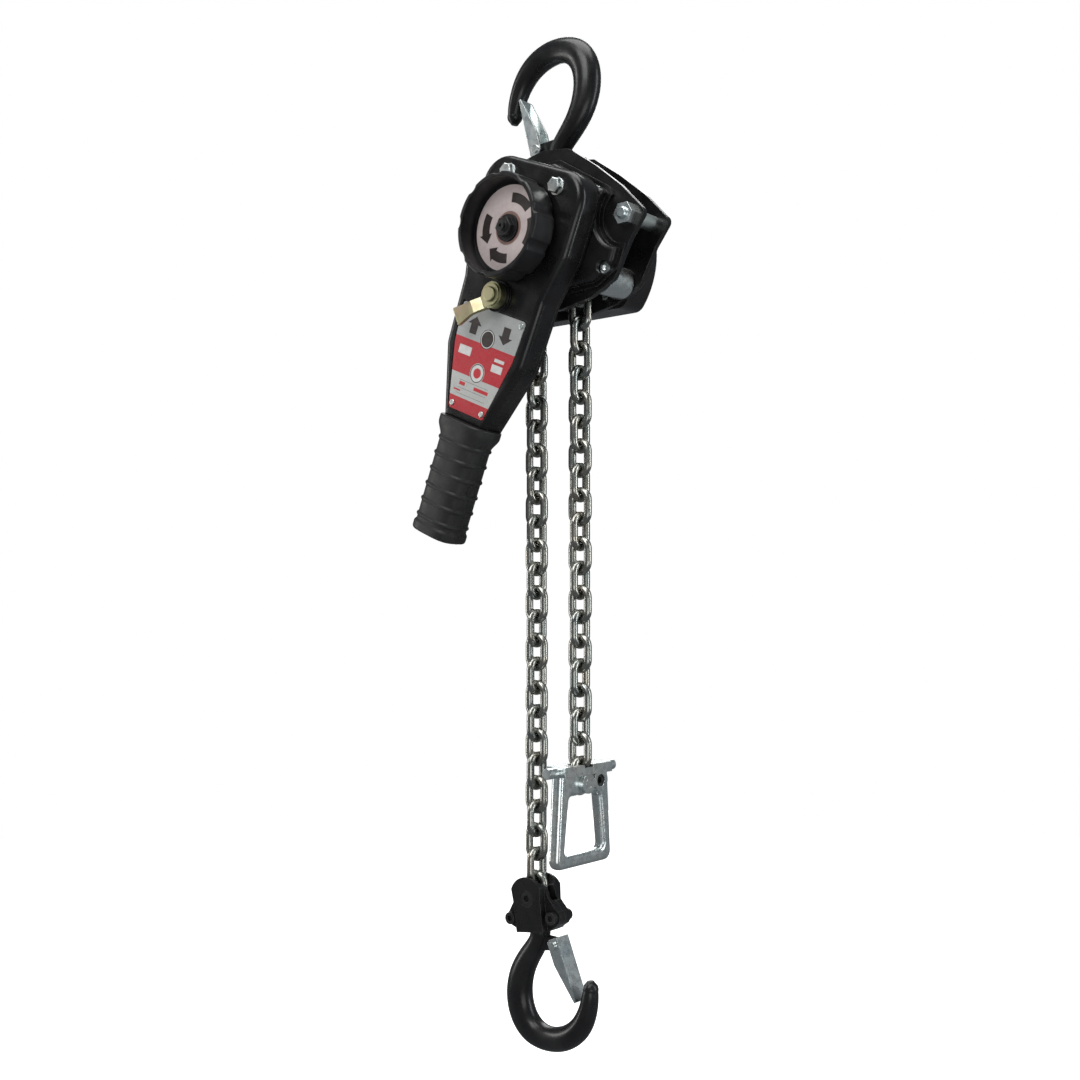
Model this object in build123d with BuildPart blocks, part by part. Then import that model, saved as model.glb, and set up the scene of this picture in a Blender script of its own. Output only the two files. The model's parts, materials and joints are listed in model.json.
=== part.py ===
from build123d import *
import os
from math import acos, cos, pi, radians, sin, tan

# Lever chain hoist, in millimetres. The origin is the bearing point of the top hook, +Z is up,
# +X is to the right and -Y is the handwheel side. "Depth" is the distance ahead of the chain plane.

# ---------------------------------------------------------------- driving dimensions
AXIS_Z = -135.0            # height of the load sheave's axis below the top hook's bearing point
LEVER_SWING = 22.5         # the lever stands this many degrees clockwise of straight down
HANG_LEAN = 8.0            # lean of the bottom block about its chain pin, from its own weight

PLATE_GAP = 26.0           # between the side plates
PLATE_T = 4.0
PLATE_IN = PLATE_GAP / 2
PLATE_OUT = PLATE_IN + PLATE_T

WIRE = 5.9                 # chain wire diameter
PITCH = 18.0               # chain pitch
LINK_HALF = 12.0           # link centre to the wire's centre at its end
LINK_SIDE = 7.25           # link centre to the wire's centre at its side
WRAP_FLAT_R = 20.0         # centre of a link that lies flat in a sheave pocket
WRAP_STAND_R = 23.4        # centre of a link that stands in the sheave's groove
FALL_X = 20.9              # the two falls of chain hang at this distance from the axis
FALL_START = 0.9           # first link of each fall above the axis
LOAD_LINKS = 28
TAIL_LINKS = 23
SPLIT_LINK = 13            # the lower part of each fall swings from this link

SHAFT_R = 6.0
RUN = 0.05                 # radial running clearance

GEAR_M = 1.5               # gear module
GEAR_CENTRES = 31.5
GEAR_SPOTS = [(-GEAR_CENTRES, 0), (GEAR_CENTRES, 0)]
PRESSURE = 25.0
BACKLASH = 0.14

CHAIN_PIN_R = 3.6
PIN_TO_AXIS = PITCH * (LOAD_LINKS - 1) - FALL_START + LINK_HALF - WIRE / 2 - CHAIN_PIN_R - RUN
STAY_R = 4.0
SPACER_R = 5.6
STAY_RIGHT = (76.7, 4.0)
STAY_LEFT = (-64.0, 4.0)    # its rear end is flush, under the gear cover
STAYS = [STAY_RIGHT, STAY_LEFT]
YOKE_PIN_Z = 41.5
ROLLERS = {"left": (-48.0, -33.0), "right": (50.0, -35.0)}
ROLLER_R = 11.5
AXLE_R = 4.0


# ---------------------------------------------------------------- helpers
def save(piece, name):
    """Label a finished piece and write it as its own STEP file."""
    piece.part.label = name
    export_step(piece.part, f"parts/{name}.step")


def front(depth, turn=0.0):
    """Plane facing the front at a depth, centred on the main axis and turned clockwise."""
    a = radians(turn)
    return Plane(origin=(0, -depth, AXIS_Z), x_dir=(cos(a), 0, -sin(a)), z_dir=(0, -1, 0))


def lever(depth):
    """Front plane that is swung with the lever."""
    return front(depth, LEVER_SWING)


def polar(radius, degrees_ccw):
    return (radius * cos(radians(degrees_ccw)), radius * sin(radians(degrees_ccw)))


def disc(depth, thickness, radius, bore=0.0, at=((0, 0),), plane=front, mode=Mode.ADD):
    """Round plate or ring, from a depth towards the front."""
    with BuildSketch(plane(depth)) as face:
        with Locations(*at):
            Circle(radius)
            if bore:
                Circle(bore, mode=Mode.SUBTRACT)
    extrude(face.sketch, amount=thickness, mode=mode)


def hexagon(depth, height, across_flats, at, plane=front, mode=Mode.ADD):
    """Hexagonal head, nut or socket, from a depth towards the front."""
    with BuildSketch(plane(depth)) as face:
        with Locations(*at):
            RegularPolygon(across_flats / 2, 6, major_radius=False)
    extrude(face.sketch, amount=height, mode=mode)


def prism(plane, start, end, points, mode=Mode.ADD):
    """Straight-sided prism of an outline, between two distances along a plane's normal."""
    with BuildSketch(plane.offset(start)) as face:
        with BuildLine():
            Polyline(*points, close=True)
        make_face()
    extrude(face.sketch, amount=end - start, mode=mode)


def bar(plane, start, end, radius, at=((0, 0),), mode=Mode.ADD):
    """Round bar between two distances along a plane's normal."""
    with BuildSketch(plane.offset(start)) as face:
        with Locations(*at):
            Circle(radius)
    extrude(face.sketch, amount=end - start, mode=mode)


def coil(plane, radius, wire, turns, pitch):
    """Coil spring wound along a plane's normal."""
    helix = plane.location * Helix(pitch=pitch, height=turns * pitch, radius=radius, mode=Mode.PRIVATE)
    with BuildSketch(Plane(origin=helix @ 0, z_dir=helix % 0)) as section:
        Circle(wire / 2)
    sweep(section.sketch, path=helix, is_frenet=True)


# ---------------------------------------------------------------- forged hooks and their latches
# Sections along the hook, from the tip to the neck: x, height, half width, half thickness.
HOOK_SECTIONS = [
    (-43.2, -35.5, 2.4, 3.0),
    (-42.8, -29.5, 5.2, 5.8),
    (-38.6, -15.5, 7.0, 7.2),
    (-29.6, -1.8, 8.3, 8.2),
    (-15.5, 7.0, 9.0, 8.8),
    (1.5, 9.2, 9.2, 9.0),
    (16.6, 4.0, 10.2, 9.2),
    (25.6, -8.0, 10.9, 9.2),
    (27.4, -23.5, 10.8, 9.0),
    (22.2, -40.0, 9.9, 8.6),
    (12.2, -53.3, 8.6, 8.2),
    (3.8, -62.5, 7.7, 8.0),
    (0.0, -71.5, 8.0, 8.0),
]
NECK_BASE = -71.5
HEAD_TOP = -79.0
HEAD_H = 5.0
HOOK_DROP = 97.0           # from the chain pin down to the bottom hook's bearing point
HEAD_R = 9.5
JOURNAL_R = 6.0
LATCH_PIVOT = (-16.6, -61.5)
LATCH_END = (-26.87, -21.8)
LATCH_PIN_R = 2.0
LUG_HALF = 3.0
LATCH_HALF = 7.0
LATCH_T = 1.5
TIP_R = 5.9
LUG_R = 3.9
LUG_OUTLINE = [(-18.5, -65.5), (2, -69), (6, -56.5), (-15, -57.4)]
# Side view of the latch, along it and out of the hook's mouth; the cavity is what the sheet wraps.
LATCH_OUTLINE = [(-5, 5.6), (-5, -2), (-2.5, -4.6), (14, -4.2), (35, 1.6), (43.5, 4.0),
                 (43.5, 5.6)]
LATCH_CAVITY = [(-8, 4.1), (-8, -8), (50, -8), (50, 4.1)]


def top_frame():
    return Plane(origin=(0, 0, 0), x_dir=(1, 0, 0), z_dir=(0, -1, 0))


def block_frame():
    """Plane on the chain pin's axis, leaning with the bottom block."""
    a = radians(HANG_LEAN)
    return Plane(origin=(-FALL_X, 0, AXIS_Z - PIN_TO_AXIS), x_dir=(cos(a), 0, sin(a)), z_dir=(0, -1, 0))


def bottom_frame():
    """The bottom hook's frame, upside down, with its bearing point below the chain pin."""
    block = block_frame()
    return Plane(origin=block.from_local_coords((0, -HOOK_DROP, 0)), x_dir=-block.x_dir, z_dir=(0, -1, 0))


def latch_frame(hook):
    """Plane on the latch pin: x along the latch, y out of the hook's mouth."""
    pivot = hook.from_local_coords((LATCH_PIVOT[0], LATCH_PIVOT[1], 0))
    end = hook.from_local_coords((LATCH_END[0], LATCH_END[1], 0))
    return Plane(origin=pivot, x_dir=end - pivot, z_dir=hook.z_dir)


def forged_hook(hook):
    """Hook forging with its swivel journal and head, and the lug that carries the latch."""
    centres = [hook.from_local_coords((x, z, 0)) for x, z, _, _ in HOOK_SECTIONS]
    last = len(centres) - 1
    sections = []
    for i, (_, _, half_width, half_thick) in enumerate(HOOK_SECTIONS):
        along = centres[min(i + 1, last)] - centres[max(i - 1, 0)]
        if i == last:
            along = -hook.y_dir
        with BuildSketch(Plane(origin=centres[i], x_dir=hook.z_dir, z_dir=along)) as section:
            Ellipse(half_thick, half_width)
        sections.append(section.sketch)
    loft(sections)
    with BuildSketch(Plane(origin=centres[1], x_dir=hook.x_dir, z_dir=hook.z_dir)) as tip:
        Circle(TIP_R)
        with Locations((-TIP_R, 0)):
            Rectangle(2 * TIP_R, 2 * TIP_R, mode=Mode.SUBTRACT)
    revolve(tip.sketch, axis=Axis(centres[1], hook.y_dir))
    prism(hook, -LUG_HALF, LUG_HALF, LUG_OUTLINE)
    bar(hook, -LUG_HALF, LUG_HALF, LUG_R, [LATCH_PIVOT])
    bar(hook, -LUG_HALF, LUG_HALF, LATCH_PIN_R, [LATCH_PIVOT], mode=Mode.SUBTRACT)
    neck = Plane(origin=hook.from_local_coords((0, NECK_BASE, 0)), x_dir=hook.x_dir, z_dir=-hook.y_dir)
    bar(neck, 0, NECK_BASE - HEAD_TOP, JOURNAL_R)
    bar(neck, NECK_BASE - HEAD_TOP, NECK_BASE - HEAD_TOP + HEAD_H, HEAD_R)


def latch_channel(hook):
    """Folded sheet latch: a web on the outside and two cheeks round the lug."""
    plane = latch_frame(hook)
    inner = LATCH_HALF - LATCH_T
    prism(plane, -LATCH_HALF, LATCH_HALF, LATCH_OUTLINE)
    prism(plane, -inner, inner, LATCH_CAVITY, mode=Mode.SUBTRACT)
    bar(plane, -LATCH_HALF, LATCH_HALF, LATCH_PIN_R + RUN, mode=Mode.SUBTRACT)


def latch_pin(hook):
    """Riveted pin through the latch's cheeks and the lug."""
    plane = latch_frame(hook)
    end = LATCH_HALF + 0.2
    bar(plane, -end, end, LATCH_PIN_R)
    bar(plane, end, end + 1.1, 3.1)
    bar(plane, -end, -end - 1.1, 3.1)


def latch_spring(hook):
    """Torsion spring on the latch pin, beside the lug."""
    coil(latch_frame(hook).offset(LUG_HALF + 0.5), 3.1, 0.7, 1.7, 0.85)


with BuildPart() as top_hook:
    forged_hook(top_frame())
save(top_hook, "top_hook")

with BuildPart() as top_latch:
    latch_channel(top_frame())
save(top_latch, "top_latch")

with BuildPart() as top_latch_pin:
    latch_pin(top_frame())
save(top_latch_pin, "top_latch_pin")

with BuildPart() as top_latch_spring:
    latch_spring(top_frame())
save(top_latch_spring, "top_latch_spring")

with BuildPart() as bottom_hook:
    forged_hook(bottom_frame())
save(bottom_hook, "bottom_hook")

with BuildPart() as bottom_latch:
    latch_channel(bottom_frame())
save(bottom_latch, "bottom_latch")

with BuildPart() as bottom_latch_pin:
    latch_pin(bottom_frame())
save(bottom_latch_pin, "bottom_latch_pin")

with BuildPart() as bottom_latch_spring:
    latch_spring(bottom_frame())
save(bottom_latch_spring, "bottom_latch_spring")


# ---------------------------------------------------------------- top yoke, in two halves
YOKE_HALF_T = 12.6
YOKE_TOP = -72.0 - AXIS_Z          # above the main axis
YOKE_RIBS = (-16.0, -11.0, 11.0, 16.0)
YOKE_OUTLINE = [(-21, YOKE_TOP - 3), (-18, YOKE_TOP), (18, YOKE_TOP), (21, YOKE_TOP - 3),
                (21, 51), (9.4, 38), (-9.4, 38), (-21, 51)]
YOKE_BOSS_R = 10.0
YOKE_PIN_R = 5.0
SCREW_R = 2.5


def yoke_half(side):
    """Half of the yoke, on the front (1) or the rear (-1) of the chain plane."""
    face = side * YOKE_HALF_T
    prism(front(0), 0, face, YOKE_OUTLINE)
    bar(front(0), 0, face, YOKE_BOSS_R, [(0, YOKE_PIN_Z)])
    bar(front(0), 0, face, 1.9, [(x, YOKE_TOP) for x in YOKE_RIBS])
    bar(front(0), 0, face, YOKE_PIN_R + RUN, [(0, YOKE_PIN_Z)], mode=Mode.SUBTRACT)
    roof = Plane(origin=(0, 0, HEAD_TOP + 0.2), z_dir=(0, 0, -1))
    bar(roof, 0, HEAD_H + 0.4, HEAD_R + 0.3, mode=Mode.SUBTRACT)
    bar(roof, 0, -20, JOURNAL_R + RUN, mode=Mode.SUBTRACT)


with BuildPart() as yoke_front:
    yoke_half(1)
save(yoke_front, "yoke_front")

with BuildPart() as yoke_rear:
    yoke_half(-1)
save(yoke_rear, "yoke_rear")

with BuildPart() as yoke_pin:
    disc(-PLATE_OUT, 2 * PLATE_OUT, YOKE_PIN_R, at=[(0, YOKE_PIN_Z)])
save(yoke_pin, "yoke_pin")


# ---------------------------------------------------------------- side plates
PLATE_OUTLINE = [(-22, 62), (0, 66), (24, 62), (48, 45), (71, 26), (92, 4), (79, -13), (65, -39),
                 (44, -49), (16, -54), (-16, -54), (-44, -48), (-62, -36), (-72, -12), (-74.5, 6),
                 (-64, 25), (-46, 45)]
BUSH_R = 16.5
JOURNAL_SHEAVE_R = 13.0
STRIPPER_Z = -41.0
STRIPPER_PIN_R = 4.0
PAWL_POSTS = [polar(42, 50), polar(42, 230)]


def side_plate(depth):
    """Pressed steel side plate; every bore for bushes, pins, stays and axles goes through it."""
    with BuildSketch(front(depth)) as plate:
        with BuildLine():
            Polyline(*PLATE_OUTLINE, close=True)
        make_face()
        fillet(plate.vertices(), 5)
        Circle(BUSH_R, mode=Mode.SUBTRACT)
        with Locations((0, YOKE_PIN_Z)):
            Circle(YOKE_PIN_R, mode=Mode.SUBTRACT)
        with Locations(*STAYS):
            Circle(STAY_R, mode=Mode.SUBTRACT)
        with Locations(*ROLLERS.values()):
            Circle(AXLE_R, mode=Mode.SUBTRACT)
        with Locations((0, STRIPPER_Z)):
            Circle(STRIPPER_PIN_R, mode=Mode.SUBTRACT)
    extrude(plate.sketch, amount=PLATE_T)


BRAKE_SCREWS = [(-44, 31), (52, 24), (60, -31), (-56, -15)]
GEAR_COVER_SCREWS = [(-38, 33), (38, 33), (-36, -40), (34, -42)]

with BuildPart() as side_plate_front:
    side_plate(PLATE_IN)
    disc(PLATE_IN, PLATE_T, 2.5, at=PAWL_POSTS, mode=Mode.SUBTRACT)
    disc(PLATE_IN, PLATE_T, SCREW_R, at=BRAKE_SCREWS, mode=Mode.SUBTRACT)
save(side_plate_front, "side_plate_front")

GEAR_SHAFT_R = 4.5
with BuildPart() as side_plate_rear:
    side_plate(-PLATE_OUT)
    disc(-PLATE_OUT, PLATE_T, GEAR_SHAFT_R + RUN, at=GEAR_SPOTS, mode=Mode.SUBTRACT)
    disc(-PLATE_OUT, PLATE_T, SCREW_R, at=GEAR_COVER_SCREWS, mode=Mode.SUBTRACT)
save(side_plate_rear, "side_plate_rear")

with BuildPart() as sheave_bushes:
    disc(PLATE_IN, PLATE_T, BUSH_R, JOURNAL_SHEAVE_R + RUN)
    disc(-PLATE_OUT, PLATE_T, BUSH_R, JOURNAL_SHEAVE_R + RUN)
save(sheave_bushes, "sheave_bushes")

STUD_OUT = PLATE_OUT + 8.5
with BuildPart() as stay_bolts:
    bar(front(0), -STUD_OUT, STUD_OUT, STAY_R, [STAY_RIGHT])
    bar(front(0), -PLATE_OUT, STUD_OUT, STAY_R, [STAY_LEFT])
    chamfer(stay_bolts.edges().filter_by(GeomType.CIRCLE).group_by(Axis.Y)[0], 0.8)
    chamfer(stay_bolts.edges().filter_by(GeomType.CIRCLE).group_by(Axis.Y)[-1], 0.8)
save(stay_bolts, "stay_bolts")

with BuildPart() as stay_spacers:
    disc(-PLATE_IN, PLATE_GAP, SPACER_R, STAY_R, at=STAYS)
save(stay_spacers, "stay_spacers")

NUT_H = 6.2
NUT_FLATS = 14.0
with BuildPart() as stay_nuts:
    hexagon(PLATE_OUT, NUT_H, NUT_FLATS, STAYS)
    hexagon(-PLATE_OUT - NUT_H, NUT_H, NUT_FLATS, [STAY_RIGHT])
    bar(front(0), -STUD_OUT, STUD_OUT, STAY_R, STAYS, mode=Mode.SUBTRACT)
save(stay_nuts, "stay_nuts")

with BuildPart() as roller_axles:
    disc(-PLATE_OUT, 2 * PLATE_OUT, AXLE_R, at=list(ROLLERS.values()))
save(roller_axles, "roller_axles")

for side, spot in ROLLERS.items():
    with BuildPart() as guide_roller:
        disc(-PLATE_IN + 0.3, PLATE_GAP - 0.6, ROLLER_R, AXLE_R + RUN, at=[spot])
        fillet(guide_roller.edges().filter_by(GeomType.CIRCLE).group_by(SortBy.RADIUS)[-1], 1.2)
    save(guide_roller, f"guide_roller_{side}")

with BuildPart() as chain_stripper:
    with BuildSketch(front(-3)):
        with BuildLine():
            Polyline((-5.5, -14.5), (5.5, -14.5), (8, -34), (8, -48), (-8, -48), (-8, -34), close=True)
        make_face()
    extrude(amount=6)
    with BuildSketch(front(-PLATE_IN)):
        with Locations((0, STRIPPER_Z)):
            RectangleRounded(15, 12, 3)
    extrude(amount=PLATE_GAP)
    disc(-PLATE_OUT, 2 * PLATE_OUT, STRIPPER_PIN_R, at=[(0, STRIPPER_Z)])
save(chain_stripper, "chain_stripper")


# ---------------------------------------------------------------- chain
def link_at(position, turn_y=0.0, turn_z=0.0):
    return Location(position) * Location((0, 0, 0), (0, turn_y, 0)) * Location((0, 0, 0), (0, 0, turn_z))


with BuildPart() as one_link:
    leg = 2 * (LINK_HALF - LINK_SIDE)
    with BuildSketch(Plane.XY.offset(-leg / 2)):
        with Locations((LINK_SIDE, 0), (-LINK_SIDE, 0)):
            Circle(WIRE / 2)
    extrude(amount=leg)
    for side in (-1, 1):
        with BuildSketch(Plane.XY.offset(side * leg / 2)):
            with Locations((LINK_SIDE, 0)):
                Circle(WIRE / 2)
        revolve(axis=Axis((0, 0, side * leg / 2), (0, -side, 0)), revolution_arc=180)


def fall(side, first, last):
    """Links of a hanging fall; even ones stand across the plates and odd ones along them."""
    for k in range(first, last):
        height = AXIS_Z + FALL_START - PITCH * k
        with Locations(link_at((side * FALL_X, 0, height), turn_z=90 if k % 2 == 0 else 0)):
            add(one_link.part)


with BuildPart() as wrapped_chain:
    for angle, radius, turn_y, turn_z in (
        (45, WRAP_STAND_R, -45, 0),
        (90, WRAP_FLAT_R, 90, 90),
        (135, WRAP_STAND_R, 45, 0),
    ):
        x, z = polar(radius, angle)
        with Locations(link_at((x, 0, AXIS_Z + z), turn_y, turn_z)):
            add(one_link.part)
save(wrapped_chain, "wrapped_chain")

with BuildPart() as load_chain_upper:
    fall(-1, 0, SPLIT_LINK)
save(load_chain_upper, "load_chain_upper")

with BuildPart() as load_chain_lower:
    fall(-1, SPLIT_LINK, LOAD_LINKS)
save(load_chain_lower, "load_chain_lower")

with BuildPart() as tail_chain_upper:
    fall(1, 0, SPLIT_LINK)
save(tail_chain_upper, "tail_chain_upper")

with BuildPart() as tail_chain_lower:
    fall(1, SPLIT_LINK, TAIL_LINKS)
save(tail_chain_lower, "tail_chain_lower")


# ---------------------------------------------------------------- load sheave and gears
SHEAVE_HALF = 12.0
SHEAVE_R = 25.5
GROOVE_R = 11.4
POCKET_FLOOR = 15.2
LOAD_GEAR_BORE = 9.0

with BuildPart() as load_sheave:
    disc(-SHEAVE_HALF, 2 * SHEAVE_HALF, SHEAVE_R)
    disc(-PLATE_OUT + 0.2, 2 * PLATE_OUT - 0.4, JOURNAL_SHEAVE_R)
    disc(-25.4, 25.4, LOAD_GEAR_BORE)
    disc(-4.0, 8.0, SHEAVE_R + 1, GROOVE_R, mode=Mode.SUBTRACT)
    for k in range(4):
        pocket = front(0, 90 * k)
        with BuildSketch(pocket.offset(-11)):
            with Locations((0, POCKET_FLOOR + 10)):
                Rectangle(32.5, 20)
        extrude(amount=22, mode=Mode.SUBTRACT)
    disc(-PLATE_OUT - 10, 2 * PLATE_OUT + 20, SHAFT_R + RUN, mode=Mode.SUBTRACT)
save(load_sheave, "load_sheave")


def involute(x):
    return tan(x) - x


def gear_face(teeth, phase=0.0):
    """Spur gear outline; a tooth points along x, turned by the phase in degrees."""
    pitch_r = GEAR_M * teeth / 2
    base_r = pitch_r * cos(radians(PRESSURE))
    tip_r = pitch_r + 0.8 * GEAR_M
    root_r = pitch_r - 1.1 * GEAR_M
    half_tooth = (pi * GEAR_M / 2 - BACKLASH / 2) / 2 / pitch_r + involute(radians(PRESSURE))
    start_r = max(base_r, root_r)

    def flank(radius, side, turn):
        angle = half_tooth - involute(acos(min(1.0, base_r / radius)))
        return polar(radius, turn + side * angle * 180 / pi)

    with BuildLine() as outline:
        for i in range(teeth):
            turn = phase + 360 * i / teeth
            mid_r = (start_r + tip_r) / 2
            rise = [flank(r, -1, turn) for r in (start_r, mid_r, tip_r)]
            drop = [flank(r, 1, turn) for r in (tip_r, mid_r, start_r)]
            ThreePointArc(*rise)
            ThreePointArc(rise[2], polar(tip_r, turn), drop[0])
            ThreePointArc(*drop)
            next_rise = flank(start_r, -1, turn + 360 / teeth)
            ThreePointArc(drop[2], polar(root_r, turn + 180 / teeth), next_rise)
    make_face(outline.edges())


PINION_T, WHEEL_T, DISC_PINION_T, LOAD_T = 12, 30, 14, 28
LOW_GEARS = -25.0          # depth of the load gear's rear face
HIGH_GEARS = -32.0
GEAR_FACE_W = 5.6

with BuildPart() as load_gear:
    with BuildSketch(front(LOW_GEARS)):
        gear_face(LOAD_T)
        Circle(LOAD_GEAR_BORE, mode=Mode.SUBTRACT)
    extrude(amount=GEAR_FACE_W)
save(load_gear, "load_gear")

for side, sign in (("left", -1), ("right", 1)):
    with BuildPart() as disc_gear:
        with BuildSketch(front(HIGH_GEARS)):
            with Locations((sign * GEAR_CENTRES, 0)):
                Circle(SHAFT_R)
        extrude(amount=14.6)
        with BuildSketch(Plane(origin=(sign * GEAR_CENTRES, -HIGH_GEARS, AXIS_Z),
                               x_dir=(1, 0, 0), z_dir=(0, -1, 0))):
            gear_face(WHEEL_T, 180 / WHEEL_T)
        extrude(amount=5.0)
        with BuildSketch(Plane(origin=(sign * GEAR_CENTRES, -LOW_GEARS - 0.6, AXIS_Z),
                               x_dir=(1, 0, 0), z_dir=(0, -1, 0))):
            gear_face(DISC_PINION_T, 180 / DISC_PINION_T)
        extrude(amount=GEAR_FACE_W + 1.2)
        disc(-37.5, 24.3, GEAR_SHAFT_R, at=[(sign * GEAR_CENTRES, 0)])
    save(disc_gear, f"disc_gear_{side}")

with BuildPart() as pinion_shaft:
    with BuildSketch(front(HIGH_GEARS - 0.4)):
        gear_face(PINION_T)
    extrude(amount=5.8)
    disc(HIGH_GEARS - 4.6, 5, 5.0)
    disc(HIGH_GEARS, 47 - HIGH_GEARS, SHAFT_R)
    disc(47, 11, 5.0)
    disc(58, 5.2, 4.0)
    disc(63.2, 2.2, 3.4)
    disc(64.0, 1.4, 1.4, mode=Mode.SUBTRACT)
save(pinion_shaft, "pinion_shaft")

GEAR_COVER_R = 63.0
GEAR_COVER_DROP = 10.0     # its centre is this far below the axis
COVER_T = 2.5
COVER_DEPTH = 41.5
GEAR_COVER_TOP = 44.0
GEAR_COVER_BOTTOM = -51.0


def gear_cover_solid(inset, height, mode=Mode.ADD):
    """Round cover, flat above and below, inset all round by a wall thickness."""
    with BuildSketch(front(-PLATE_OUT)) as outline:
        with Locations((0, -GEAR_COVER_DROP)):
            Circle(GEAR_COVER_R - inset)
        with Locations((0, (GEAR_COVER_TOP + GEAR_COVER_BOTTOM) / 2)):
            Rectangle(200, GEAR_COVER_TOP - GEAR_COVER_BOTTOM - 2 * inset, mode=Mode.INTERSECT)
        fillet(outline.vertices(), 9 - inset)
    extrude(outline.sketch, amount=-height, mode=mode)


with BuildPart() as gear_cover:
    gear_cover_solid(0, COVER_DEPTH - PLATE_OUT)
    fillet(gear_cover.edges().group_by(Axis.Y)[-1], 4.5)
    gear_cover_solid(COVER_T, COVER_DEPTH - PLATE_OUT - COVER_T, Mode.SUBTRACT)
    bar(front(0), -COVER_DEPTH + 1, -PLATE_OUT, 5.5, GEAR_COVER_SCREWS)
    disc(-COVER_DEPTH + COVER_T, 6.2, 8.0, at=GEAR_SPOTS)
    disc(-COVER_DEPTH + COVER_T, 5.0, 8.0)
    disc(-COVER_DEPTH + COVER_T, 6.2, GEAR_SHAFT_R + RUN, at=GEAR_SPOTS, mode=Mode.SUBTRACT)
    disc(-COVER_DEPTH + COVER_T, 5.0, 5.0 + RUN, mode=Mode.SUBTRACT)
    bar(front(0), -COVER_DEPTH, -PLATE_OUT, SCREW_R, GEAR_COVER_SCREWS, mode=Mode.SUBTRACT)
save(gear_cover, "gear_cover")


# ---------------------------------------------------------------- load brake, on the front plate
HUB_R = 10.0
RATCHET_R = 30.0
RATCHET_ROOT = 26.0
RATCHET_TEETH = 12
RATCHET_FACE = 20.2        # angle of one tooth's stop face
HUB_DEPTH = PLATE_OUT + 0.6
DISC_A = 19.35             # depths of the brake stack, from the side plate forwards
RATCHET_DEPTH = 20.45
DISC_B = 22.45
GEAR_DEPTH = 23.6
BRAKE_COVER_FRONT = 25.5
BRAKE_WALL = 1.5
BRAKE_OUTLINE = [(-16, 55), (17, 55), (63, 26), (77, -14), (70, -32), (51, -43), (20, -44),
                 (-20, -46), (-50, -42), (-63, -26), (-67, 0), (-58, 26)]
BRAKE_NOTCHES = [STAY_RIGHT, (-67.0, 5.0)]

with BuildPart() as friction_hub:
    disc(HUB_DEPTH, DISC_A - HUB_DEPTH - 0.02, 24.0, SHAFT_R)
    disc(HUB_DEPTH, GEAR_DEPTH - HUB_DEPTH - 0.05, HUB_R, SHAFT_R)
save(friction_hub, "friction_hub")

with BuildPart() as friction_discs:
    disc(DISC_A, RATCHET_DEPTH - DISC_A, 23.5, HUB_R + 0.08)
    disc(DISC_B, 1.08, 23.5, HUB_R + 0.08)
save(friction_discs, "friction_discs")

with BuildPart() as ratchet_disc:
    with BuildSketch(front(RATCHET_DEPTH)):
        with BuildLine():
            for k in range(RATCHET_TEETH):
                face = RATCHET_FACE + 360 / RATCHET_TEETH * k
                Line(polar(RATCHET_R, face), polar(RATCHET_ROOT, face))
                Line(polar(RATCHET_ROOT, face), polar(RATCHET_R, face + 360 / RATCHET_TEETH))
        make_face()
        Circle(HUB_R + 0.08, mode=Mode.SUBTRACT)
    extrude(amount=DISC_B - RATCHET_DEPTH)
save(ratchet_disc, "ratchet_disc")

POST_R = 2.5
with BuildPart() as pawl_posts:
    disc(PLATE_IN, GEAR_DEPTH - PLATE_IN, POST_R, at=PAWL_POSTS)
save(pawl_posts, "pawl_posts")

# The pawls' tips are relieved, so that they lift clear of the teeth.
for name, turn in (("upper", 0), ("lower", 180)):
    with BuildPart() as brake_pawl:
        post = polar(42, 50 + turn)
        with BuildSketch(front(RATCHET_DEPTH + 0.1)):
            with BuildLine():
                Polyline(polar(26.7, 24.4 + turn), polar(31.6, 40 + turn), polar(37.8, 49 + turn),
                         polar(44, 45 + turn), polar(36.5, 33 + turn), polar(30.4, 20.7 + turn), close=True)
            make_face()
            with Locations(post):
                Circle(4.6)
                Circle(POST_R + RUN, mode=Mode.SUBTRACT)
        extrude(amount=DISC_B - RATCHET_DEPTH - 0.2)
    save(brake_pawl, f"brake_pawl_{name}")

with BuildPart() as brake_pawl_springs:
    for x, z in PAWL_POSTS:
        base = front(PLATE_OUT + 0.5)
        coil(Plane(origin=base.from_local_coords((x, z, 0)), x_dir=(1, 0, 0), z_dir=(0, -1, 0)),
             3.2, 0.6, 2.6, 0.8)
save(brake_pawl_springs, "brake_pawl_springs")


def brake_cover_outline(depth, inset, screw_boss=0.0):
    """Outline of the brake cover, inset all round; its hollow leaves a boss round each screw."""
    with BuildSketch(front(depth)) as outline:
        with BuildLine():
            Polyline(*BRAKE_OUTLINE, close=True)
        make_face()
        fillet(outline.vertices(), 9)
        if inset:
            offset(amount=-inset)
        with Locations(BRAKE_NOTCHES[0]):
            Circle(20 + inset, mode=Mode.SUBTRACT)
        with Locations(BRAKE_NOTCHES[1]):
            Circle(13.5 + inset, mode=Mode.SUBTRACT)
        if screw_boss:
            with Locations(*BRAKE_SCREWS):
                Circle(screw_boss, mode=Mode.SUBTRACT)
    return outline.sketch


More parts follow.
